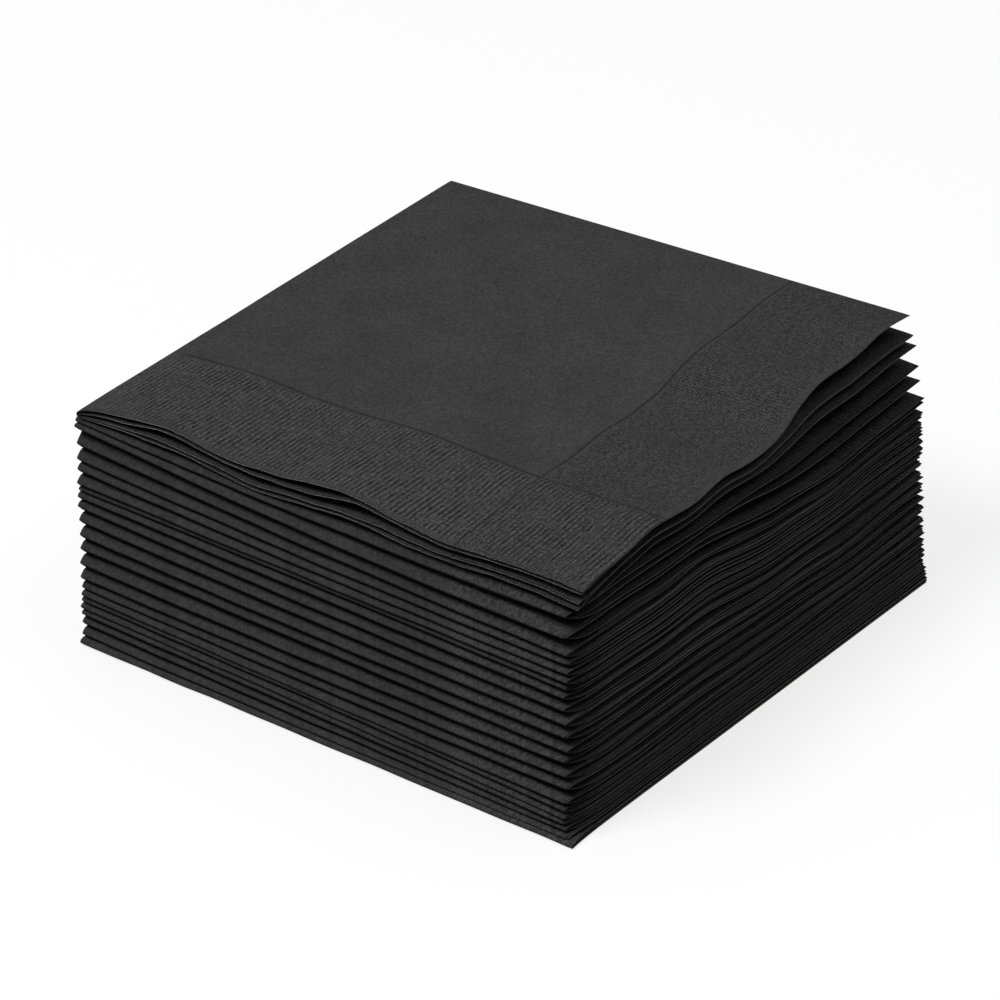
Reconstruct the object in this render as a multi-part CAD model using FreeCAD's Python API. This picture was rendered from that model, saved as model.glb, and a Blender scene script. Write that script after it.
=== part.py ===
import FreeCAD, Part
import math
import os

os.makedirs("parts", exist_ok=True)
Vector = FreeCAD.Vector

# All sizes are in millimetres. The pile stands on z = 0 and is centred on the z axis.
# Each napkin is one square sheet folded twice, so that four leaves lie over each other.
# The outer fold wraps all four leaves, and the first fold joins leaf 1 to 2 and leaf 3 to 4.

# The folded sheet
napkin_side = 127.0
leaf_thickness = 0.25

# The outer fold: half its innermost blunt tip, the air between the nested leaves there, the slope
# of its wedge, and how far back from the crease the leaves are level
crease_tip = 0.06
nest_gap = 0.03
wedge_angle = 48.0
wedge_zone = 5.0

# The first fold: how far back from its crease a pair of leaves closes, and the crease itself
first_fold_reach = 1.2
first_fold_thickness = 0.4

# Air between one napkin and the next
rest_gap = 0.04

# Air inside each napkin of the pile, from the bottom one up, at its first fold and at the free
# edge across from it: the pile is uneven, and its folds run slightly aslant
air_at_fold = [
    0.41, 1.26, 1.41, 0.76, 0.51, 0.56, 0.56, 1.01, 1.86, 2.46, 2.46,
    2.36, 2.31, 1.81, 1.26, 0.36, 1.56, 1.76, 2.01, 4.21, 0.36, 0.36,
]
air_at_edge = [
    0.32, 0.32, 0.32, 0.32, 0.32, 0.66, 1.36, 2.16, 2.06, 1.86, 2.06,
    2.16, 1.96, 2.11, 1.51, 0.96, 0.86, 0.96, 1.06, 1.86, 3.36, 3.06,
]
# Of that air, the share between the two leaves of a pair
pair_share = 0.22
# No fold props the leaves up at the right corner, so they bend down to it: the share of the air
# that is pressed out there, and how far from the back corner the bend starts
corner_settle = 0.19
bend_setback = 1.5

# How far one napkin lies out of line with the next, and how that turns from each to the next
slip = 0.3
slip_turn_x = 2.4
slip_turn_y = 4.08

# Places along a free edge, as shares of the side, where the heights below are given
right_places = [0.0, 0.2, 0.5, 0.66, 0.82, 1.0]
front_places = [0.0, 0.18, 0.31, 0.52, 0.78, 1.0]
# How quickly a lifted edge dies away into the napkin
right_fade = 2.5
front_fade = 3.0

# The last napkin of the pile: its leaves fan apart along the right edge, and the places between
# its first fold and that edge where they are shaped
fan_stations = [0.45, 0.72, 1.0]
fan_top_lift = [0.0, 2.2, 2.1, 5.0, 5.1, 3.9]
fan_lower_gap = [0.0, 1.7, 1.9, 1.8, 2.7, 3.6]
fan_middle_gap = [0.0, 0.2, 0.0, 1.2, 1.8, 1.25]

# The top napkin, turned a quarter: how far its free edge at the front corner juts out past the
# pile, and how far the lifted corner draws in both ways
front_corner_out = 2.3
right_corner_in = 3.8
# Lift of its underside, then the gaps over leaf 4, leaf 3 and leaf 2, along its two free edges
top_lift_right = [1.85, 2.75, 2.75, 6.75, 7.25, 6.05]
top_lift_front = [0.0, 0.75, 0.35, 0.25, 0.55, 1.85]
lower_gap_right = [0.85, 1.0, 0.7, 0.6, 0.45, 0.1]
lower_gap_front = [0.13, 0.8, 0.8, 1.15, 0.7, 0.85]
middle_gap_right = [1.35, 1.15, 0.95, 2.65, 2.25, 3.95]
middle_gap_front = [0.34, 1.2, 1.2, 1.8, 1.15, 1.35]
upper_gap_right = [0.95, 0.75, 0.5, 0.45, 0.35, 0.1]
upper_gap_front = [0.13, 1.1, 1.0, 1.8, 1.0, 0.95]

half = napkin_side / 2
leaf_count = 4
lowest_leaf = leaf_count - 1
wedge = math.radians(wedge_angle)
pile_count = len(air_at_fold)
# How deep the four surfaces of the two nested layers lie behind the outer crease
inner_depth = leaf_thickness + nest_gap
layer_depths = [0.0, leaf_thickness, inner_depth, inner_depth + leaf_thickness]
# A blunt tip is higher by this for each millimetre further out, so that a layer is evenly thick
tip_growth = (1 - math.sin(wedge)) / math.cos(wedge)


def along(values, places, u):
    """Height at the share u of an edge, between the values given at its places."""
    for i in range(len(places) - 1):
        if u <= places[i + 1]:
            w = (u - places[i]) / (places[i + 1] - places[i])
            w = w * w * (3 - 2 * w)
            return values[i] + (values[i + 1] - values[i]) * w
    return values[-1]


def bend_place(rx):
    """Where the leaves of the pile bend, from the front left side, at the share rx across."""
    start = 1 - bend_setback / napkin_side
    end = wedge_zone / napkin_side
    return start + (end - start) * rx


def corner_share(rx, ry):
    """How far a place lies from the bend towards the right corner, as a share."""
    return max(0.0, (ry - bend_place(rx)) / (1 - bend_place(1.0)))


def air_of(first, last, rx, ry):
    """Air in the napkins of the pile from the first up to the last, at the shares of the sides."""
    at_fold = sum(air_at_fold[first:last])
    at_edge = sum(air_at_edge[first:last])
    return at_fold + (at_edge - at_fold) * rx - at_edge * corner_settle * corner_share(rx, ry)


def pile_height(count, rx=0.0, ry=0.0):
    """Height of the first napkins of the pile at the shares rx and ry of the sides."""
    return count * (leaf_count * leaf_thickness + rest_gap) + air_of(0, count, rx, ry)


def pile_level(k, leaf, rx, ry):
    """Top of a leaf, counted from the top one down, of a napkin inside the pile."""
    air = air_of(k, k + 1, rx, ry)
    below = [air, (1 - pair_share) * air, pair_share * air, 0.0][leaf]
    return pile_height(k, rx, ry) + (leaf_count - leaf) * leaf_thickness + below


def fan_level(leaf, rx, ry):
    """Top of a leaf of the last napkin of the pile, fanned apart to the right edge."""
    k = pile_count - 1
    fade = rx ** right_fade
    if leaf == 0:
        return pile_level(k, 0, 0.0, 0.0) + along(fan_top_lift, right_places, ry) * fade
    z = pile_level(k, lowest_leaf, rx, ry)
    air = air_of(k, pile_count, rx, 0.0)
    if leaf <= 2:
        z += leaf_thickness + pair_share * air
        z += along(fan_lower_gap, right_places, ry) * fade
    if leaf <= 1:
        z += leaf_thickness + (1 - 2 * pair_share) * air
        z += along(fan_middle_gap, right_places, ry) * fade
    return z


def edge_surface(right, front, rx, ry):
    """A height that follows its two free edges, and is even at the two folded ones."""
    at_fold = front[0]
    at_front = right[0]
    at_right = right[-1]

    def plain(u, v):
        return at_fold + u * (at_front - at_fold + v * (at_right - at_front))

    z = plain(rx, ry)
    z += (along(front, front_places, rx) - plain(rx, 0.0)) * (1 - ry) ** front_fade
    z += (along(right, right_places, ry) - plain(1.0, ry)) * rx ** right_fade
    return z


def top_level(leaf, rx, ry):
    """Top of a leaf of the top napkin."""
    z = pile_height(pile_count)
    z += edge_surface(top_lift_right, top_lift_front, rx, ry) + leaf_thickness
    if leaf <= 2:
        z += edge_surface(lower_gap_right, lower_gap_front, rx, ry) + leaf_thickness
    if leaf <= 1:
        z += edge_surface(middle_gap_right, middle_gap_front, rx, ry) + leaf_thickness
    if leaf == 0:
        z += edge_surface(upper_gap_right, upper_gap_front, rx, ry) + leaf_thickness
    return z


def smooth_line(points, places):
    """Line through points, curved where there are more than two."""
    if len(points) == 2:
        return Part.LineSegment(points[0], points[1]).toShape()
    curve = Part.BSplineCurve()
    curve.interpolate(Points=points, Parameters=places)
    return curve.toShape()


def strip(edge, other):
    """Face between two edges of neighbouring outlines: a plane where it can be one."""
    corners = [vertex.Point for vertex in edge.Vertexes + other.Vertexes[::-1]]
    straight = edge.Curve.TypeId == other.Curve.TypeId == "Part::GeomLine"
    if straight and Part.Compound([Part.Vertex(corner) for corner in corners]).findPlane():
        return Part.Face(Part.makePolygon(corners + corners[:1]))
    return Part.makeRuledSurface(edge, other)


def skin(outlines):
    """Solid through outlines that are lists of matching edges."""
    faces = []
    for edges in (outlines[0], outlines[-1]):
        faces.append(Part.Face(Part.Wire(Part.__sortEdges__(edges))))
    for edges, others in zip(outlines, outlines[1:]):
        faces += [strip(edge, other) for edge, other in zip(edges, others)]
    shell = Part.Shell(faces)
    shell.sewShape()
    solid = Part.Solid(shell)
    if solid.Volume < 0:
        solid.reverse()
    return solid


def folded_napkin(place, top_of, places_of, stations):
    """One twice-folded sheet, as one solid.

    s runs from the outer crease to its free edge and t from the first crease to its free edge.
    place(s, t, z) gives a point, with s and t in millimetres. With s and t as shares of the side,
    top_of(leaf, s, t) is the top of a leaf and places_of(leaf, t) are the places that its outline
    runs through. The stations are the shares t of the outlines behind the first fold.
    """

    def leaf_surface(surface, upper, s, t):
        # Surfaces 0 and 1 are the outside and inside of the outer layer, 2 and 3 of the inner one
        layer = surface // 2
        leaf = layer if upper else lowest_leaf - layer
        is_top = upper == (surface % 2 == 0)
        return top_of(leaf, s, t) - (0.0 if is_top else leaf_thickness)

    def hairpin(t, depth, layer, height):
        # From the upper free edge, round the blunt crease, to the lower free edge
        middle = (top_of(0, 0.0, t) + top_of(lowest_leaf, 0.0, t) - leaf_thickness) / 2
        tip = crease_tip + (layer_depths[-1] - depth) * tip_growth
        sides = []
        for upper in (True, False):
            sign = 1 if upper else -1
            at_fold = height(upper, 0.0)
            knee = depth + (abs(at_fold - middle) - tip) / math.tan(wedge)
            places = places_of(layer if upper else lowest_leaf - layer, t)
            points = [place(s * napkin_side, t * napkin_side, height(upper, s)) for s in places]
            knee_point = place(knee, t * napkin_side, at_fold)
            tip_point = place(depth, t * napkin_side, middle + sign * tip)
            edges = [
                smooth_line(points, places),
                Part.LineSegment(points[0], knee_point).toShape(),
                Part.LineSegment(knee_point, tip_point).toShape(),
            ]
            sides.append((points[-1], tip_point, edges))
        (top_end, top_tip, top_edges), (low_end, low_tip, low_edges) = sides
        blunt = Part.LineSegment(top_tip, low_tip).toShape()
        return top_end, low_end, top_edges + [blunt] + low_edges

    def outline(outside, inside, t, pinched=False):
        # Between two of the four surfaces; a pinched one is as thin as the first crease
        pair_depth = (layer_depths[outside] + layer_depths[inside]) / 2
        runs = []
        for surface, outward in ((outside, 1), (inside, -1)):
            depth = layer_depths[surface]
            if pinched:
                depth = pair_depth - outward * first_fold_thickness / 2

            def height(upper, s, surface=surface, outward=outward):
                if not pinched:
                    return leaf_surface(surface, upper, s, t)
                middle = leaf_surface(outside, upper, s, t) + leaf_surface(inside, upper, s, t)
                away = outward if upper else -outward
                return (middle + away * first_fold_thickness) / 2

            runs.append(hairpin(t, depth, surface // 2, height))
        (top_out, low_out, out_edges), (top_in, low_in, in_edges) = runs
        ends = [Part.LineSegment(low_out, low_in), Part.LineSegment(top_in, top_out)]
        return out_edges + in_edges + [end.toShape() for end in ends]

    close = first_fold_reach / napkin_side
    shares = [close] + stations
    outer = skin([outline(0, 1, t) for t in shares])
    inner = skin([outline(2, 3, t) for t in shares])
    fold = skin([outline(0, 3, 0.0, pinched=True), outline(0, 3, close)])
    return outer.fuse([inner, fold])


def report(name, shape):
    state = "ok" if shape.isValid() and len(shape.Solids) == 1 else "CHECK"
    box = shape.BoundBox
    print(f"{name} {state} solids {len(shape.Solids)} volume {shape.Volume:.0f} "
          f"z {box.ZMin:.2f} to {box.ZMax:.2f}")


def pile_place(k):
    """Where the points of a napkin of the pile lie."""
    dx = slip * math.sin(slip_turn_x * k)
    dy = slip * math.cos(slip_turn_y * k)

    def place(s, t, z):
        return Vector(t - half + dx, s - half + dy, z)

    return place


def top_place(s, t, z):
    """Where the points of the top napkin lie, drawn in at its lifted corner."""
    u = s / napkin_side
    v = 1 - t / napkin_side
    x = s - half + u * ((1 - v) * front_corner_out - v * right_corner_in)
    y = half - t - u * v * right_corner_in
    return Vector(x, y, z)


# All but the two uppermost: the pile
napkins = []
for k in range(pile_count - 1):

    def napkin_top(leaf, s, t):
        return pile_level(k, leaf, t, s)

    def napkin_places(leaf, t):
        return [bend_place(t), 1.0]

    napkins.append(folded_napkin(pile_place(k), napkin_top, napkin_places, [1.0]))


# The last of the pile, lying on it with its lowest leaf and fanned to the right
def fan_top(leaf, s, t):
    return fan_level(leaf, t, s)


def fan_places(leaf, t):
    if leaf == lowest_leaf:
        return [bend_place(t), 1.0]
    return [wedge_zone / napkin_side] + right_places[1:]


napkins.append(folded_napkin(pile_place(pile_count - 1), fan_top, fan_places, fan_stations))


# The top one, turned a quarter, with its outer fold to the left and its first fold at the back
def turned_top(leaf, s, t):
    return top_level(leaf, s, 1 - t)


def turned_places(leaf, t):
    return [wedge_zone / napkin_side] + front_places[1:]


top_stations = [1 - v for v in reversed(right_places[:-1])]
napkins.append(folded_napkin(top_place, turned_top, turned_places, top_stations))

for number, shape in enumerate(napkins, start=1):
    name = f"napkin_{number:02d}"
    report(name, shape)
    shape.exportStep(os.path.join("parts", name + ".step"))
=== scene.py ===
import math
import bpy
import numpy as np
from mathutils import Matrix, Vector


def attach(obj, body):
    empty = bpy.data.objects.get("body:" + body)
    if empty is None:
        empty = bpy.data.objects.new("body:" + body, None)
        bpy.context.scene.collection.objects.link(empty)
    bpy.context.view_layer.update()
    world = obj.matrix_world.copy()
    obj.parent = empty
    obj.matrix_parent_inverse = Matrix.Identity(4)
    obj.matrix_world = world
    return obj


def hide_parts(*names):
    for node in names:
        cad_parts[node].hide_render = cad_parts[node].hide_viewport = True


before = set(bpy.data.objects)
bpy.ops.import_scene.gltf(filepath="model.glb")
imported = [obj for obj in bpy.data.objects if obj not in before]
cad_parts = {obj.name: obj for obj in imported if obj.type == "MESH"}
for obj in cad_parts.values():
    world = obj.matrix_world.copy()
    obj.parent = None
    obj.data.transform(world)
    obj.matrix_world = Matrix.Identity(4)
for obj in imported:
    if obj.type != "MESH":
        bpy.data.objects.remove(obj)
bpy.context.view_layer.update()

mm = 0.001

# the folded sheet, in millimetres, as in the CAD part
sheet = {
    "side": 127.0, "thick": 0.25, "nestGap": 0.03, "gap": 0.04,
    "wedge": 48, "kneeSharpness": 5.0, "foldReach": 1.3, "edgeShare": 0.6,
}
half = sheet["side"] / 2


def wander(x, seed, length):
    # smooth random line, mostly between -1 and 1
    rng = np.random.default_rng(seed)
    total = np.zeros_like(np.asarray(x, dtype=float))
    for octave in range(7):
        wave = length * rng.uniform(0.55, 2.0)
        total += rng.uniform(0.5, 1.0) * np.sin(2 * np.pi * x / wave + rng.uniform(0, 2 * np.pi))
    return total / 2.8


def wander2(x, y, seed, length):
    # the same over a surface
    rng = np.random.default_rng(seed)
    total = np.zeros(np.broadcast(x, y).shape)
    for octave in range(9):
        wave = length * rng.uniform(0.6, 2.0)
        turn = rng.uniform(0, np.pi)
        run = x * math.cos(turn) + y * math.sin(turn)
        total += rng.uniform(0.5, 1.0) * np.sin(2 * np.pi * run / wave + rng.uniform(0, 2 * np.pi))
    return total / 3.2


def curve(points, x):
    # smooth line through (place, value) pairs
    places = np.array([p[0] for p in points], dtype=float)
    values = np.array([p[1] for p in points], dtype=float)
    slopes = np.gradient(values, places)
    x = np.clip(x, places[0], places[-1])
    i = np.clip(np.searchsorted(places, x, side="right") - 1, 0, len(places) - 2)
    step = places[i + 1] - places[i]
    w = (x - places[i]) / step
    return ((2 * w**3 - 3 * w**2 + 1) * values[i] + (w**3 - 2 * w**2 + w) * step * slopes[i]
            + (3 * w**2 - 2 * w**3) * values[i + 1] + (w**3 - w**2) * step * slopes[i + 1])


def spread(fine, step, end):
    # distances from a crease: the fine ones, then even steps to the free edge
    start = fine[-1]
    stop = sheet["side"] - end
    count = max(2, round((stop - start) / step))
    return np.concatenate([fine, np.linspace(start, stop, count + 1)[1:], [sheet["side"]]])


def bothWays(distances):
    return np.concatenate([-distances[:0:-1], distances])


def foldedSheet(leafMid, noseMid, place, crease, uSteps, vSteps):
    # u runs across the first fold, v across the outer one: a grid over the whole unfolded sheet
    u, v = np.meshgrid(uSteps, vSteps, indexing="ij")
    t, e = np.abs(u), np.abs(v)
    closing = np.clip(t / sheet["foldReach"], 0, 1)
    layer = 0.5 + 0.5 * np.sign(u) * np.sqrt(closing * (2 - closing))
    depth = sheet["thick"] / 2 + layer * (sheet["thick"] + sheet["nestGap"])
    s = depth + e * (1 - depth / sheet["side"])

    def leafHeight(s):
        leaves = [leafMid(leaf, s, t) for leaf in range(4)]
        upper = (1 - layer) * leaves[0] + layer * leaves[1]
        lower = (1 - layer) * leaves[3] + layer * leaves[2]
        return np.where(v >= 0, upper, lower)

    atFold = leafHeight(0 * s)
    middle = noseMid(t)
    away = np.maximum(0.02, np.sign(v) * (atFold - middle))
    # towards the end of the fold the leaves open at a gentler slope
    near = np.clip((t - sheet["side"]) / crease["endReach"] + 1, 0, 1)
    near = near * near * (3 - 2 * near)
    wedge = np.radians(sheet["wedge"] + near * (crease["endWedge"] - sheet["wedge"]))
    # round tip, then the slope of the wedge, then the level leaf
    tip = crease["outerTip"] + layer * (crease["innerTip"] - crease["outerTip"])
    turned = 1 - np.sin(wedge)
    onTip = np.clip(e / tip, 0, turned)
    rise = tip * np.sqrt(onTip * (2 - onTip))
    rise = rise + np.maximum(0, e - tip * turned) * np.tan(wedge)
    p = sheet["kneeSharpness"] * (1 - 0.5 * near)
    height = rise * away / (rise**p + away**p) ** (1 / p)
    z = middle + np.sign(v) * height + leafHeight(s) - atFold
    return u, v, place(s, t, z, u, v)


def sheetObject(node, u, v, points):
    name = node.replace("napkin", "paper")
    rows, columns = u.shape
    du = np.gradient(points, axis=0)
    dv = np.gradient(points, axis=1)
    normal = -np.cross(du, dv)
    length = np.linalg.norm(normal, axis=2, keepdims=True)
    normal = normal / np.maximum(length, 1e-9)
    smooth = normal.copy()
    smooth[1:-1] += 0.3 * (normal[:-2] + normal[2:])
    smooth[:, 1:-1] += 0.3 * (normal[:, :-2] + normal[:, 2:])
    normal = smooth / np.maximum(np.linalg.norm(smooth, axis=2, keepdims=True), 1e-9)
    fromEdge = np.minimum(sheet["side"] - np.abs(u), sheet["side"] - np.abs(v))
    pressed = sheet["edgeShare"] + (1 - sheet["edgeShare"]) * np.clip(fromEdge / 1.5, 0, 1)
    offset = normal * (sheet["thick"] / 2 * pressed)[..., None]
    both = np.concatenate([(points + offset).reshape(-1, 3), (points - offset).reshape(-1, 3)]) * mm
    count = rows * columns
    index = np.arange(count).reshape(rows, columns)
    quads = np.stack([index[:-1, :-1], index[:-1, 1:], index[1:, 1:], index[1:, :-1]], axis=-1).reshape(-1, 4)
    rim = np.concatenate([index[0, :], index[1:, -1], index[-1, -2::-1], index[-2:0:-1, 0]])
    following = np.roll(rim, -1)
    edge = np.stack([rim, rim + count, following + count, following], axis=-1)
    faces = np.concatenate([quads, quads[:, ::-1] + count, edge[:, ::-1]])
    mesh = bpy.data.meshes.new(name)
    mesh.vertices.add(len(both))
    mesh.vertices.foreach_set("co", both.ravel())
    mesh.loops.add(faces.size)
    mesh.loops.foreach_set("vertex_index", faces.ravel().astype(np.int32))
    mesh.polygons.add(len(faces))
    mesh.polygons.foreach_set("loop_start", np.arange(0, faces.size, 4, dtype=np.int32))
    rimHighlight = np.zeros(len(faces))
    # the painted highlight on the cut edge fades out where the leaves come together at the fold
    rimHighlight[2 * len(quads):] = np.clip(np.abs(v.ravel()[rim]) / 9, 0.02, 1)
    mesh.polygons.foreach_set("use_smooth", rimHighlight == 0)
    flat = mesh.attributes.new("flat", "FLOAT_VECTOR", "POINT")
    layerSide = np.ones(count)
    where = np.stack([u.ravel(), v.ravel(), layerSide], axis=-1)
    back = where * [1, 1, -1]
    flat.data.foreach_set("vector", np.concatenate([where, back]).ravel())
    rimHighlightAttribute = mesh.attributes.new("rim", "FLOAT", "FACE")
    rimHighlightAttribute.data.foreach_set("value", rimHighlight)
    mesh.update(calc_edges=True)
    mesh.validate()
    obj = bpy.data.objects.new(name, mesh)
    bpy.context.collection.objects.link(obj)
    mesh.materials.append(tissue)
    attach(obj, "root")
    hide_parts(node)
    return obj


def mathNode(tree, operation, *values):
    # values are numbers or sockets
    node = tree.nodes.new("ShaderNodeMath")
    node.operation = operation
    for socket, value in zip(node.inputs, values):
        if isinstance(value, (int, float)):
            socket.default_value = value
        else:
            tree.links.new(value, socket)
    return node.outputs[0]


def mapped(tree, value, fromLow, fromHigh, low, high):
    node = tree.nodes.new("ShaderNodeMapRange")
    node.interpolation_type = "SMOOTHSTEP"
    for name, number in (("From Min", fromLow), ("From Max", fromHigh), ("To Min", low), ("To Max", high)):
        node.inputs[name].default_value = number
    tree.links.new(value, node.inputs["Value"])
    return node.outputs["Result"]


def noiseOf(tree, vector, scale, detail=2.0, roughness=0.5, distortion=0.0):
    node = tree.nodes.new("ShaderNodeTexNoise")
    node.inputs["Scale"].default_value = scale
    node.inputs["Detail"].default_value = detail
    node.inputs["Roughness"].default_value = roughness
    node.inputs["Distortion"].default_value = distortion
    tree.links.new(vector, node.inputs["Vector"])
    return node.outputs["Fac"]


def pressedRibs(tree, along, across, pitch, dash, seed):
    # straight ribs side by side, each one broken into dashes of its own
    ribs = mathNode(tree, "SINE", mathNode(tree, "MULTIPLY", across, 2 * math.pi / pitch))
    number = mathNode(tree, "FLOOR", mathNode(tree, "ADD", mathNode(tree, "DIVIDE", across, pitch), 0.25))
    spot = tree.nodes.new("ShaderNodeCombineXYZ")
    tree.links.new(mathNode(tree, "DIVIDE", along, dash), spot.inputs["X"])
    tree.links.new(mathNode(tree, "MULTIPLY", number, 7.31), spot.inputs["Y"])
    spot.inputs["Z"].default_value = seed
    broken = mapped(tree, noiseOf(tree, spot.outputs[0], 1.0, 1.0), 0.40, 0.56, 0.1, 1.0)
    return mathNode(tree, "MULTIPLY", ribs, broken)


def embossGroup():
    # pressed border of the sheet, from the place on the flat sheet in millimetres, with painted shade in the creases
    # of its ribs and a painted highlight on their ridges
    band = {"width": 30.0, "plain": 1.3, "pitch": 1.2, "dash": 3.4, "finePitch": 0.75, "patch": 0.07}
    tree = bpy.data.node_groups.new("embossedBorder", "ShaderNodeTree")
    tree.interface.new_socket("Place", in_out="INPUT", socket_type="NodeSocketVector")
    tree.interface.new_socket("Height", in_out="OUTPUT", socket_type="NodeSocketFloat")
    tree.interface.new_socket("PaintedShade", in_out="OUTPUT", socket_type="NodeSocketFloat")
    tree.interface.new_socket("Border", in_out="OUTPUT", socket_type="NodeSocketFloat")
    inside = tree.nodes.new("NodeGroupInput")
    outside = tree.nodes.new("NodeGroupOutput")
    place = inside.outputs["Place"]
    split = tree.nodes.new("ShaderNodeSeparateXYZ")
    tree.links.new(place, split.inputs[0])
    u, v = split.outputs[0], split.outputs[1]
    masks = []
    creases = []
    for across in (u, v):
        fromEdge = mathNode(tree, "SUBTRACT", 127.0, mathNode(tree, "ABSOLUTE", across))
        near = mapped(tree, fromEdge, band["width"] - 0.4, band["width"] + 0.4, 1.0, 0.0)
        near = mathNode(tree, "MULTIPLY", near, mapped(tree, fromEdge, band["plain"], band["plain"] + 0.8, 0.0, 1.0))
        masks.append(near)
        # a thin crease closes the band on its inner side, pressed in and darkened with painted shade
        offset = mathNode(tree, "ABSOLUTE", mathNode(tree, "SUBTRACT", fromEdge, band["width"] + 1.0))
        creases.append(mapped(tree, offset, 0.1, 0.45, 1.0, 0.0))
    long = pressedRibs(tree, u, v, band["pitch"], band["dash"], 3.0)
    short = pressedRibs(tree, v, u, band["finePitch"], 1.7, 9.0)
    cross = pressedRibs(tree, u, v, band["finePitch"], 1.1, 5.0)
    woven = mathNode(tree, "ADD", mathNode(tree, "MULTIPLY", short, 0.45), mathNode(tree, "MULTIPLY", cross, 0.4))
    patches = mapped(tree, noiseOf(tree, place, band["patch"], 2.0), 0.35, 0.65, 0.45, 1.15)
    first = mathNode(tree, "MULTIPLY", long, masks[0])
    second = mathNode(tree, "MULTIPLY", woven, masks[1])
    height = mathNode(tree, "MULTIPLY", mathNode(tree, "ADD", first, second), patches)
    crease = mathNode(tree, "MULTIPLY", mathNode(tree, "MAXIMUM", creases[0], creases[1]), 0.6)
    # the pressing fades where the sheet bends round its outer fold
    level = mapped(tree, mathNode(tree, "ABSOLUTE", v), 1.5, 8.0, 0.15, 1.0)
    height = mathNode(tree, "MULTIPLY", mathNode(tree, "SUBTRACT", height, crease), level)
    tree.links.new(height, outside.inputs["Height"])
    # painted shade where the pressing goes down and a painted highlight where it rises; the first band is also made
    # up to 12 % lighter
    shade = mathNode(tree, "MULTIPLY", mapped(tree, height, -0.8, 0.8, 0.5, 1.6), mapped(tree, masks[0], 0.0, 1.0, 1.0, 1.12))
    tree.links.new(shade, outside.inputs["PaintedShade"])
    tree.links.new(mathNode(tree, "MAXIMUM", masks[0], masks[1]), outside.inputs["Border"])
    return tree


def paperMaterial():
    # rim: colour of the cut edges, a painted highlight far lighter than the paper's grey
    look = {"grey": 0.0243, "rim": 0.2, "roughness": 0.9, "fibre": 0.00018, "emboss": 0.0002}
    material = bpy.data.materials.new("blackTissue")
    material.use_nodes = True
    tree = material.node_tree
    nodes, links = tree.nodes, tree.links
    shader = nodes["Principled BSDF"]
    shader.inputs["Roughness"].default_value = look["roughness"]
    shader.inputs["Specular IOR Level"].default_value = 0.12
    flat = nodes.new("ShaderNodeAttribute")
    flat.attribute_name = "flat"
    # weight of the painted highlight on the cut edges
    rim = nodes.new("ShaderNodeAttribute")
    rim.attribute_name = "rim"
    place = flat.outputs["Vector"]
    border = nodes.new("ShaderNodeGroup")
    border.node_tree = embossGroup()
    links.new(place, border.inputs["Place"])
    # fine fibres, stronger in the border, soft wisps and slow clouds
    fine = noiseOf(tree, place, 1.7, 4.0, 0.75)
    wisps = noiseOf(tree, place, 0.45, 3.0, 0.6, 1.5)
    slow = noiseOf(tree, place, 0.07, 2.0)
    grain = mathNode(tree, "MULTIPLY", mapped(tree, fine, 0.35, 0.65, -1.0, 1.0),
                     mapped(tree, border.outputs["Border"], 0.0, 1.0, 0.3, 0.5))
    shade = mathNode(tree, "ADD", grain, 1.0)
    shade = mathNode(tree, "MULTIPLY", shade, mapped(tree, wisps, 0.3, 0.7, 0.94, 1.07))
    shade = mathNode(tree, "MULTIPLY", shade, mapped(tree, slow, 0.3, 0.7, 0.92, 1.08))
    # painted shade and highlight of the pressed border
    shade = mathNode(tree, "MULTIPLY", shade, border.outputs["PaintedShade"])
    shade = mathNode(tree, "MULTIPLY", shade, look["grey"])
    # painted highlight on the cut edges, with the fibres in it
    edge = mathNode(tree, "MULTIPLY", mapped(tree, fine, 0.3, 0.7, 0.7, 1.3), look["rim"])
    mix = nodes.new("ShaderNodeMix")
    links.new(rim.outputs["Fac"], mix.inputs["Factor"])
    links.new(shade, mix.inputs["A"])
    links.new(edge, mix.inputs["B"])
    grey = nodes.new("ShaderNodeCombineColor")
    for channel in ("Red", "Green", "Blue"):
        links.new(mix.outputs["Result"], grey.inputs[channel])
    links.new(grey.outputs["Color"], shader.inputs["Base Color"])
    pressed = nodes.new("ShaderNodeBump")
    pressed.inputs["Distance"].default_value = look["emboss"]
    links.new(border.outputs["Height"], pressed.inputs["Height"])
    rough = nodes.new("ShaderNodeBump")
    rough.inputs["Distance"].default_value = look["fibre"]
    links.new(fine, rough.inputs["Height"])
    links.new(pressed.outputs["Normal"], rough.inputs["Normal"])
    links.new(rough.outputs["Normal"], shader.inputs["Normal"])
    return material


tissue = paperMaterial()

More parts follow.
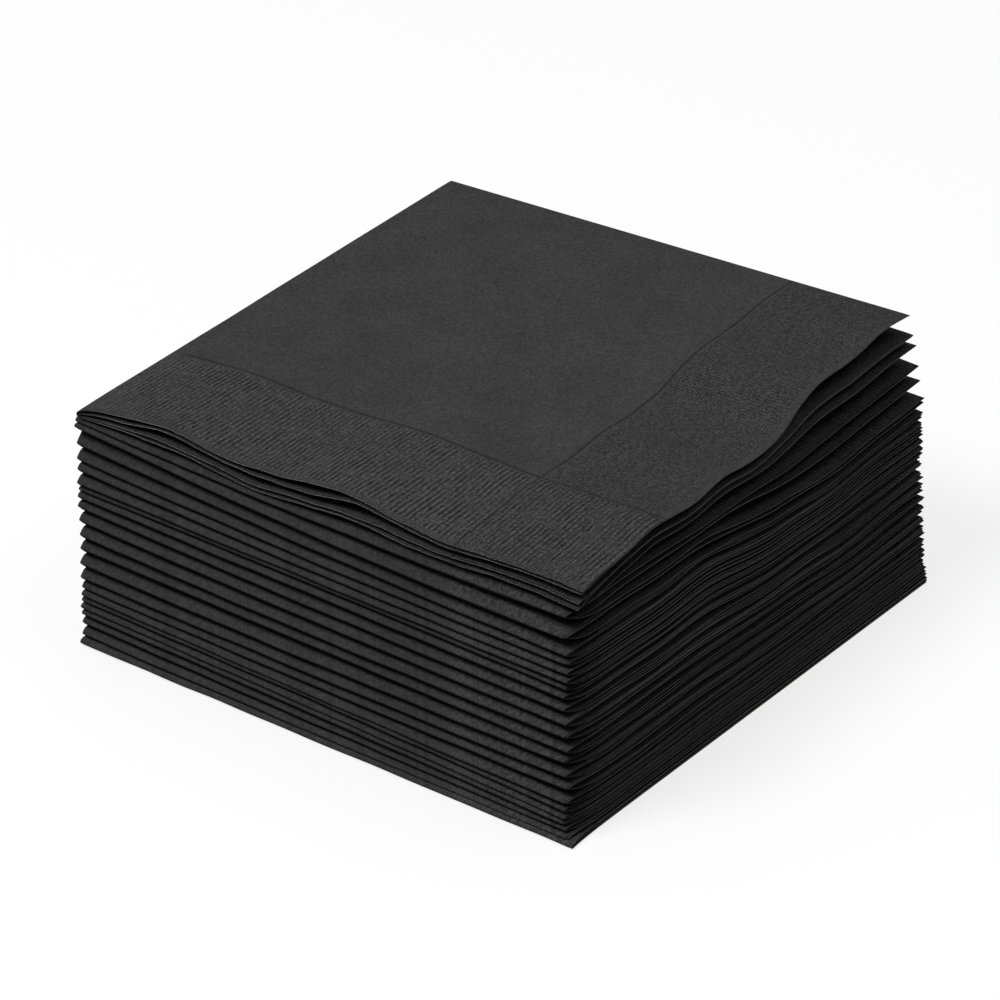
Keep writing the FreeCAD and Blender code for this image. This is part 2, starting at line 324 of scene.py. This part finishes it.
# the pile, from the bottom napkin up: heights along the front left side (left, middle, front end)
pile = {
    "tops": [
        (1.45, 1.10, 1.36), (3.75, 2.70, 2.72), (6.20, 4.90, 4.08), (8.00, 6.70, 5.44), (9.55, 8.30, 6.80),
        (11.15, 9.85, 8.50), (12.75, 11.65, 10.90), (14.80, 14.15, 14.10), (17.70, 16.95, 17.20),
        (21.20, 20.40, 20.10), (24.70, 23.65, 23.20), (28.10, 26.70, 26.40), (31.45, 29.95, 29.40),
        (34.30, 33.10, 32.55), (36.60, 35.85, 35.10), (38.00, 37.60, 37.10), (40.60, 39.30, 39.00),
        (43.40, 41.40, 41.00), (46.45, 43.95, 43.10), (51.50, 47.10, 46.00), (53.10, 50.55, 50.40),
        (54.50, 53.80, 54.50),
    ],
    "tips": [
        (0.50, 0.40, 0.35), (2.40, 1.65, 1.30), (5.10, 3.80, 2.90), (7.30, 6.05, 4.50), (8.70, 7.30, 5.70),
        (10.40, 9.30, 7.50), (11.90, 10.40, 9.50), (13.60, 12.90, 12.80), (16.00, 15.40, 15.60),
        (19.40, 18.50, 18.90), (23.00, 22.25, 21.50), (26.40, 25.05, 25.00), (29.80, 28.40, 27.90),
        (33.10, 31.50, 31.00), (35.50, 34.70, 34.00), (37.30, 37.00, 36.10), (39.00, 38.25, 38.05),
        (42.20, 40.30, 39.90), (44.60, 42.50, 42.05), (48.30, 45.40, 44.05), (52.50, 48.80, 48.10),
        (53.70, 52.20, 52.80),
    ],
    # share of the settling that is reached along the front right side
    "drop": [(0, 0), (0.1, 0.08), (0.25, 0.2), (0.4, 0.38), (0.5, 0.65), (0.55, 0.85), (0.6, 0.97), (1, 1)],
    "settle": 0.19, "pairShare": 0.13, "sway": 0.2, "noseSway": 0.08, "slip": 0.22, "stagger": 0.4,
    "foldEnd": [-0.6, 1.2, 1.8], "foldEndReach": 4.5, "cornerIn": 1.4, "backOut": 0.35,
    "forward": [1.1, 0.5],
    "crease": {"outerTip": 0.24, "innerTip": 0.10, "endWedge": 20, "endReach": 13},
    "uFine": np.array([0.0, 0.06, 0.25, 0.65, 1.3, 2.6, 5.0]),
    "vFine": np.array([0.0, 0.04, 0.12, 0.3, 0.6, 0.9, 1.2, 1.6, 2.2, 3.4, 5.4]),
    "step": 3.3, "end": 1.2,
}
side = sheet["side"]


def through(values, share):
    # parabola through three values, at the start, in the middle and at the end
    start, middle, end = values
    return (start * (1 - share) * (1 - 2 * share) + 4 * middle * share * (1 - share)
            + end * share * (2 * share - 1))


def pileHeight(count, x, y, settle=pile["settle"]):
    # x and y are in millimetres from the folded sides
    rx, ry = np.clip(x / side, 0, 1), np.clip(y / side, 0, 1)
    if count == 0:
        return 0 * rx * ry
    air = pile["tops"][count - 1][2] - count * (4 * sheet["thick"] + sheet["gap"])
    total = through(pile["tops"][count - 1], rx) - settle * air * rx * curve(pile["drop"], ry)
    free = (0.25 + 0.75 * rx) * (1 - (1 - ry) ** 4)
    for k in range(1, count):
        air = pile["tops"][k][2] - pile["tops"][k - 1][2] - 4 * sheet["thick"] - sheet["gap"]
        wave = wander2(x, y, 300 + k, 42)
        # the waves leave the heights of the corners as they are
        corners = [wander2(np.array(cx), np.array(cy), 300 + k, 42) for cx, cy in
                   ((0.0, 0.0), (side, 0.0), (0.0, side), (side, side))]
        wave = wave - (corners[0] * (1 - rx) * (1 - ry) + corners[1] * rx * (1 - ry)
                       + corners[2] * (1 - rx) * ry + corners[3] * rx * ry)
        total = total + air * pile["sway"] * wave * free
    return total


def pileNapkin(k):
    def leafMid(leaf, s, t):
        low = pileHeight(k, t, s) + sheet["thick"] / 2
        high = pileHeight(k + 1, t, s) - sheet["gap"] - sheet["thick"] / 2
        if leaf == 0:
            return high
        if leaf == 3:
            return low
        room = high - low - 3 * sheet["thick"]
        share = np.clip(pile["pairShare"] + 0.13 * wander(s, 500 + 4 * k + leaf, 34), 0.02, 0.4)
        reach = sheet["thick"] + share * np.maximum(room, 0.05)
        return high - reach if leaf == 1 else low + reach

    def noseMid(t):
        return through(pile["tips"][k], t / side) + 0.05 * wander(t, 700 + k, 30)

    uSteps = bothWays(spread(pile["uFine"], pile["step"], pile["end"]))
    vSteps = bothWays(spread(pile["vFine"], pile["step"], pile["end"]))
    u, v, points = foldedSheet(leafMid, noseMid, pilePlace(k), pile["crease"], uSteps, vSteps)
    return sheetObject(f"napkin_{k + 1:02d}", u, v, points)


def pilePlace(k):
    rng = np.random.default_rng(40 + k)
    dx, dy = pile["slip"] * rng.uniform(-1, 1, 2)
    outer, inner = pile["stagger"] * rng.uniform(-1, 0.6, 2), pile["stagger"] * rng.uniform(-1, 0.6, 2)
    # the end of the fold draws in at the front corner, and the stack draws in at the right one
    foldEnd = pile["foldEnd"][k] if k < 2 else pile["foldEnd"][2] + 0.3 * rng.uniform(-1, 1)
    corner = pile["cornerIn"] * min(1, k / 15)
    forward = pile["forward"][k] if k < 2 else 0

    def place(s, t, z, u, v):
        rx, ry = t / side, s / side
        leaf = np.where(u > 0, inner[0], outer[0]), np.where(u > 0, inner[1], outer[1])
        x = t - half + dx - pile["backOut"] * np.exp(-t / 20)
        x = x + rx**2 * leaf[0] - rx**4 * foldEnd * np.exp(-s / pile["foldEndReach"]) - corner * rx**2 * ry**2
        y = s - half + dy + ry**2 * leaf[1] - corner * rx**2 * ry**2 - forward * np.exp(-s / 25)
        y = y + pile["noseSway"] * wander(t, 900 + k, 26) * np.exp(-s / 9)
        return np.stack([x, y, z], axis=-1)

    return place


for k in range(21):
    pileNapkin(k)
print("pile built")

# napkin 22: heights of its three upper leaves along the right edge, by half-sides along that edge
fan = {
    "leaves": [
        [(-1, 54.3), (-0.9, 54.9), (-0.8, 55.8), (-0.65, 56.95), (-0.59, 57.5), (-0.44, 56.8), (-0.36, 56.6),
         (-0.19, 57.4), (-0.01, 56.4), (0.07, 56.1), (0.19, 56.8), (0.27, 57.5), (0.36, 58.1), (0.45, 58.2),
         (0.61, 57.8), (0.84, 58.3), (1, 58.0)],
        [(-1, 53.6), (-0.92, 54.4), (-0.78, 54.6), (-0.51, 54.1), (-0.34, 53.3), (-0.01, 52.7), (0.21, 51.8),
         (0.37, 52.2), (0.52, 52.5), (0.68, 52.7), (1, 52.9)],
        [(-1, 52.3), (-0.71, 52.9), (-0.31, 52.2), (-0.16, 52.1), (0, 50.9), (0.09, 49.9), (0.18, 49.2),
         (0.27, 48.8), (0.45, 48.6), (0.67, 49.1), (1, 49.4)],
    ],
    "fade": 2.5,
    "drawnIn": [1.5, 1.0, 0.7, 0.0],
}


def fanNapkin():
    k = 21

    def leafMid(leaf, s, t):
        fade = np.clip(t / side, 0, 1) ** fan["fade"]
        low = pileHeight(k, t, s) + sheet["thick"] / 2
        high = through(pile["tops"][k], t / side) - sheet["gap"] - sheet["thick"] / 2
        share = pile["pairShare"] * (high - low - 3 * sheet["thick"])
        level = [high, high - sheet["thick"] - share, low + sheet["thick"] + share, low][leaf]
        if leaf == 3:
            return level
        edge = curve(fan["leaves"][leaf], 2 * s / side - 1) - sheet["thick"] / 2
        nearFold = np.clip(s / 14, 0, 1) ** 1.5
        return level + fade * nearFold * (edge - level)

    def noseMid(t):
        return through(pile["tips"][k], t / side) + 0.05 * wander(t, 719, 30)

    pileLike = pilePlace(k)

    def place(s, t, z, u, v):
        leaf = np.where(v >= 0, np.where(u > 0, 1, 0), np.where(u > 0, 2, 3))
        drawn = np.choose(leaf, fan["drawnIn"]) * (t / side) ** 2 * (s / side) ** 2
        return pileLike(s, t, z, u, v) - drawn[..., None] * np.array([1, 1, 0])

    uSteps = bothWays(spread(pile["uFine"], pile["step"], pile["end"]))
    vSteps = bothWays(spread(pile["vFine"], pile["step"], pile["end"]))
    u, v, points = foldedSheet(leafMid, noseMid, place, pile["crease"], uSteps, vSteps)
    return sheetObject("napkin_22", u, v, points)


fanNapkin()

# napkin 23, the top one: heights of its free edges, by half-sides along each edge
top = {
    "right": [
        [(-1, 60.6), (-0.96, 60.9), (-0.74, 61.6), (-0.6, 62.5), (-0.5, 61.9), (-0.35, 60.7), (-0.15, 61.4),
         (-0.05, 60.4), (0.02, 60.0), (0.1, 60.0), (0.18, 60.7), (0.24, 62.2), (0.3, 64.1), (0.36, 65.3),
         (0.42, 66.0), (0.48, 66.0), (0.6, 65.6), (0.69, 65.8), (0.81, 66.6), (1, 65.5)],
        [(-1, 59.8), (-0.9, 60.3), (-0.74, 61.0), (-0.6, 61.9), (-0.5, 61.3), (-0.35, 60.15), (-0.15, 60.85),
         (-0.05, 59.9), (0.06, 59.4), (0.18, 60.2), (0.24, 61.6), (0.3, 63.5), (0.42, 65.5), (0.48, 65.6),
         (0.6, 65.2), (0.81, 66.2), (1, 65.1)],
        [(-1, 57.3), (-0.83, 58.3), (-0.65, 59.5), (-0.58, 59.7), (-0.35, 58.2), (-0.16, 58.9), (0.04, 57.6),
         (0.1, 57.8), (0.18, 58.5), (0.26, 59.3), (0.33, 60.3), (0.41, 60.9), (0.5, 61.0), (0.61, 60.7),
         (0.73, 61.0), (0.85, 61.1), (1, 60.8)],
        [(-1, 55.75), (-0.92, 57.0), (-0.83, 57.95), (-0.65, 59.15), (-0.58, 59.35), (-0.35, 57.85),
         (-0.16, 58.55), (0.04, 57.25), (0.1, 57.45), (0.18, 58.15), (0.26, 58.95), (0.33, 59.95), (0.41, 60.55),
         (0.5, 60.65), (0.61, 60.35), (0.73, 60.65), (0.85, 60.75), (1, 60.45)],
    ],
    "front": [
        [(-1, 56.4), (-0.95, 57.6), (-0.85, 58.9), (-0.75, 59.9), (-0.64, 60.5), (-0.55, 60.2), (-0.45, 59.5),
         (-0.35, 59.1), (-0.25, 59.3), (-0.15, 60.0), (-0.08, 60.9), (0, 61.6), (0.07, 61.8), (0.15, 61.5),
         (0.22, 60.9), (0.3, 60.3), (0.4, 59.7), (0.46, 59.3), (0.52, 59.5), (0.6, 59.9), (0.7, 60.2),
         (0.8, 60.5), (0.9, 60.8), (1, 60.6)],
        [(-1, 55.9), (-0.9, 57.35), (-0.79, 58.2), (-0.707, 59.2), (-0.645, 59.55), (-0.57, 59.2), (-0.47, 58.7),
         (-0.36, 58.0), (-0.25, 57.7), (-0.17, 58.0), (-0.06, 58.7), (0.02, 59.45), (0.15, 60.35), (0.22, 60.0),
         (0.33, 59.2), (0.44, 58.5), (0.49, 58.4), (0.575, 58.9), (0.74, 59.6), (0.906, 59.9), (1, 59.8)],
        [(-1, 55.4), (-0.886, 56.4), (-0.776, 56.8), (-0.65, 57.45), (-0.583, 57.0), (-0.47, 56.6), (-0.39, 56.1),
         (-0.293, 55.6), (-0.197, 55.95), (-0.06, 56.5), (0.05, 56.95), (0.148, 57.2), (0.27, 57.1),
         (0.355, 56.6), (0.437, 56.3), (0.52, 56.7), (0.63, 57.35), (0.768, 57.7), (0.906, 57.6), (1, 57.3)],
        [(-1, 54.9), (-0.886, 55.6), (-0.748, 55.85), (-0.624, 56.05), (-0.54, 55.75), (-0.445, 55.15),
         (-0.362, 54.6), (-0.28, 54.4), (-0.197, 54.6), (-0.06, 55.25), (0.05, 55.85), (0.148, 56.05),
         (0.27, 55.5), (0.355, 55.1), (0.437, 55.0), (0.52, 55.3), (0.63, 55.9), (0.796, 56.15), (0.906, 55.95),
         (1, 55.75)],
    ],
    "level": [56.2, 55.6, 55.0, 54.8], "backFall": [0.4, 0.15, 0.0, 0.0], "nose": 55.45,
    "crease": {"outerTip": 0.5, "innerTip": 0.2, "endWedge": 40, "endReach": 10},
    "rightFade": 2.4, "frontFade": 3.2, "ripple": 0.16, "edgeRipple": 0.08,
    "frontCorner": [65.6, 65.3, 64.6, 64.4], "frontLine": -63.4, "rightCorner": [59.5, 58.6, 60.0, 60.1],
    "uFine": np.array([0.0, 0.05, 0.2, 0.5, 0.9, 1.3, 2.0, 3.0]),
    "vFine": np.array([0.0, 0.04, 0.12, 0.3, 0.5, 0.8, 1.1, 1.5, 2.1, 3.0]),
    "step": 1.3, "end": 0.5,
}


def topNapkin():
    def leafMid(leaf, s, t):
        # s runs from the left, t from the back
        rx, ry = np.clip(s / side, 0, 1), np.clip(1 - t / side, 0, 1)
        right, front = top["right"][leaf], top["front"][leaf]
        fold = top["level"][leaf] - top["backFall"][leaf] * ry
        start, atFront, atRight = front[0][1], right[0][1], right[-1][1]
        alongFront = curve(front, 2 * rx - 1) - (start + rx * (atFront - start))
        alongRight = curve(right, 2 * ry - 1) - (atFront + ry * (atRight - atFront))
        z = fold + rx * (atFront - fold + ry * (atRight - atFront))
        z = z + alongFront * (1 - ry) ** top["frontFade"] + alongRight * rx ** top["rightFade"]
        # small waves of the embossed border and its cut edge
        z = z + top["ripple"] * wander2(s, t, 80 + leaf // 2, 13) * (1 - ry) ** 3 * np.clip(s / 20, 0, 1)
        z = z + top["edgeRipple"] * wander(s, 90 + leaf, 8) * (1 - ry) ** 30 * np.clip(s / 20, 0, 1)
        return z - sheet["thick"] / 2

    def noseMid(t):
        return top["nose"] + 0.08 * wander(t, 21, 40)

    def place(s, t, z, u, v):
        rx, ry = s / side, 1 - t / side
        leaf = np.where(v >= 0, np.where(u > 0, 1, 0), np.where(u > 0, 2, 3))
        corner = np.choose(leaf, top["rightCorner"])
        frontX = np.choose(leaf, top["frontCorner"])
        x = (1 - rx) * -half + rx * ((1 - ry) * frontX + ry * corner)
        y = (1 - rx) * (half - t) + rx * ((1 - ry) * top["frontLine"] + ry * corner)
        return np.stack([x, y, z], axis=-1)

    uSteps = bothWays(spread(top["uFine"], top["step"], top["end"]))
    vSteps = bothWays(spread(top["vFine"], top["step"], top["end"]))
    u, v, points = foldedSheet(leafMid, noseMid, place, top["crease"], uSteps, vSteps)
    return sheetObject("napkin_23", u, v, points)


topNapkin()
print("napkins built")

# floor, light and camera
stage = {
    "sky": 1.7, "floor": 0.03, "floorSeen": 0.15, "floorGlow": 0.745,
    "lamps": [
        {"name": "key", "power": 24, "size": 0.6, "azimuth": -14, "elevation": 58},
        {"name": "fill", "power": 3.2, "size": 0.5, "azimuth": 100, "elevation": 60},
    ],
    "lampDistance": 1.6,
}


def fromTarget(azimuth, elevation):
    # unit vector, azimuth 0 being the front
    azimuth, elevation = math.radians(azimuth), math.radians(elevation)
    return Vector((math.sin(azimuth) * math.cos(elevation), -math.cos(azimuth) * math.cos(elevation),
                   math.sin(elevation)))


def addStage():
    scene = bpy.context.scene
    bpy.ops.mesh.primitive_plane_add(size=12, location=(0, 0, -0.0002))
    floor = bpy.context.object
    floor.name = "floor"
    material = bpy.data.materials.new("floorPaint")
    material.use_nodes = True
    nodes, links = material.node_tree.nodes, material.node_tree.links
    shader = nodes["Principled BSDF"]
    shader.inputs["Roughness"].default_value = 0.9
    # the camera sees the floor nearly white, with the shadow kept
    path = nodes.new("ShaderNodeLightPath")
    mix = nodes.new("ShaderNodeMix")
    mix.inputs["A"].default_value = stage["floor"]
    mix.inputs["B"].default_value = stage["floorSeen"]
    links.new(path.outputs["Is Camera Ray"], mix.inputs["Factor"])
    links.new(mix.outputs["Result"], shader.inputs["Base Color"])
    shader.inputs["Emission Color"].default_value = (1, 1, 1, 1)
    links.new(mathNode(material.node_tree, "MULTIPLY", path.outputs["Is Camera Ray"], stage["floorGlow"]),
              shader.inputs["Emission Strength"])
    floor.data.materials.append(material)
    world = bpy.data.worlds.new("studio")
    scene.world = world
    world.use_nodes = True
    nodes, links = world.node_tree.nodes, world.node_tree.links
    light = nodes["Background"]
    light.inputs["Color"].default_value = (1, 1, 1, 1)
    # the light falls mostly from above
    ways = nodes.new("ShaderNodeTexCoord")
    split = nodes.new("ShaderNodeSeparateXYZ")
    links.new(ways.outputs["Generated"], split.inputs[0])
    upward = mathNode(world.node_tree, "MAXIMUM", split.outputs["Z"], 0.0)
    upward = mathNode(world.node_tree, "POWER", upward, 3.0)
    path = nodes.new("ShaderNodeLightPath")
    strength = mathNode(world.node_tree, "MULTIPLY", upward, stage["sky"])
    strength = mathNode(world.node_tree, "MAXIMUM", path.outputs["Is Camera Ray"], strength)
    links.new(strength, light.inputs["Strength"])
    for lamp in stage["lamps"]:
        light = bpy.data.lights.new(lamp["name"], "AREA")
        light.shape = "DISK"
        light.size = lamp["size"]
        light.energy = lamp["power"]
        obj = bpy.data.objects.new(lamp["name"], light)
        bpy.context.collection.objects.link(obj)
        obj.location = fromTarget(lamp["azimuth"], lamp["elevation"]) * stage["lampDistance"]
        obj.rotation_mode = "QUATERNION"
        obj.rotation_quaternion = obj.location.to_track_quat("Z", "Y")
    scene.view_settings.view_transform = "Standard"


addStage()

# the photograph's viewing angle
view = {"azimuth": 36.877, "elevation": 30.797, "roll": 0.142, "distance": 1.41713, "lens": 243.27,
        "target": (-0.003518, 0.001721, 0.0254)}


def addCamera():
    back = fromTarget(view["azimuth"], view["elevation"])
    right = (-back).cross(Vector((0, 0, 1))).normalized()
    up = back.cross(right)
    roll = math.radians(view["roll"])
    right, up = right * math.cos(roll) + up * math.sin(roll), up * math.cos(roll) - right * math.sin(roll)
    cam = bpy.data.cameras.new("camera")
    cam.lens = view["lens"]
    cam.sensor_width = 36
    cam.clip_start, cam.clip_end = 0.05, 30
    obj = bpy.data.objects.new("camera", cam)
    bpy.context.collection.objects.link(obj)
    turn = Matrix((right, up, back)).transposed()
    obj.matrix_world = Matrix.Translation(Vector(view["target"]) + back * view["distance"]) @ turn.to_4x4()
    bpy.context.scene.camera = obj


addCamera()
print("stage built")
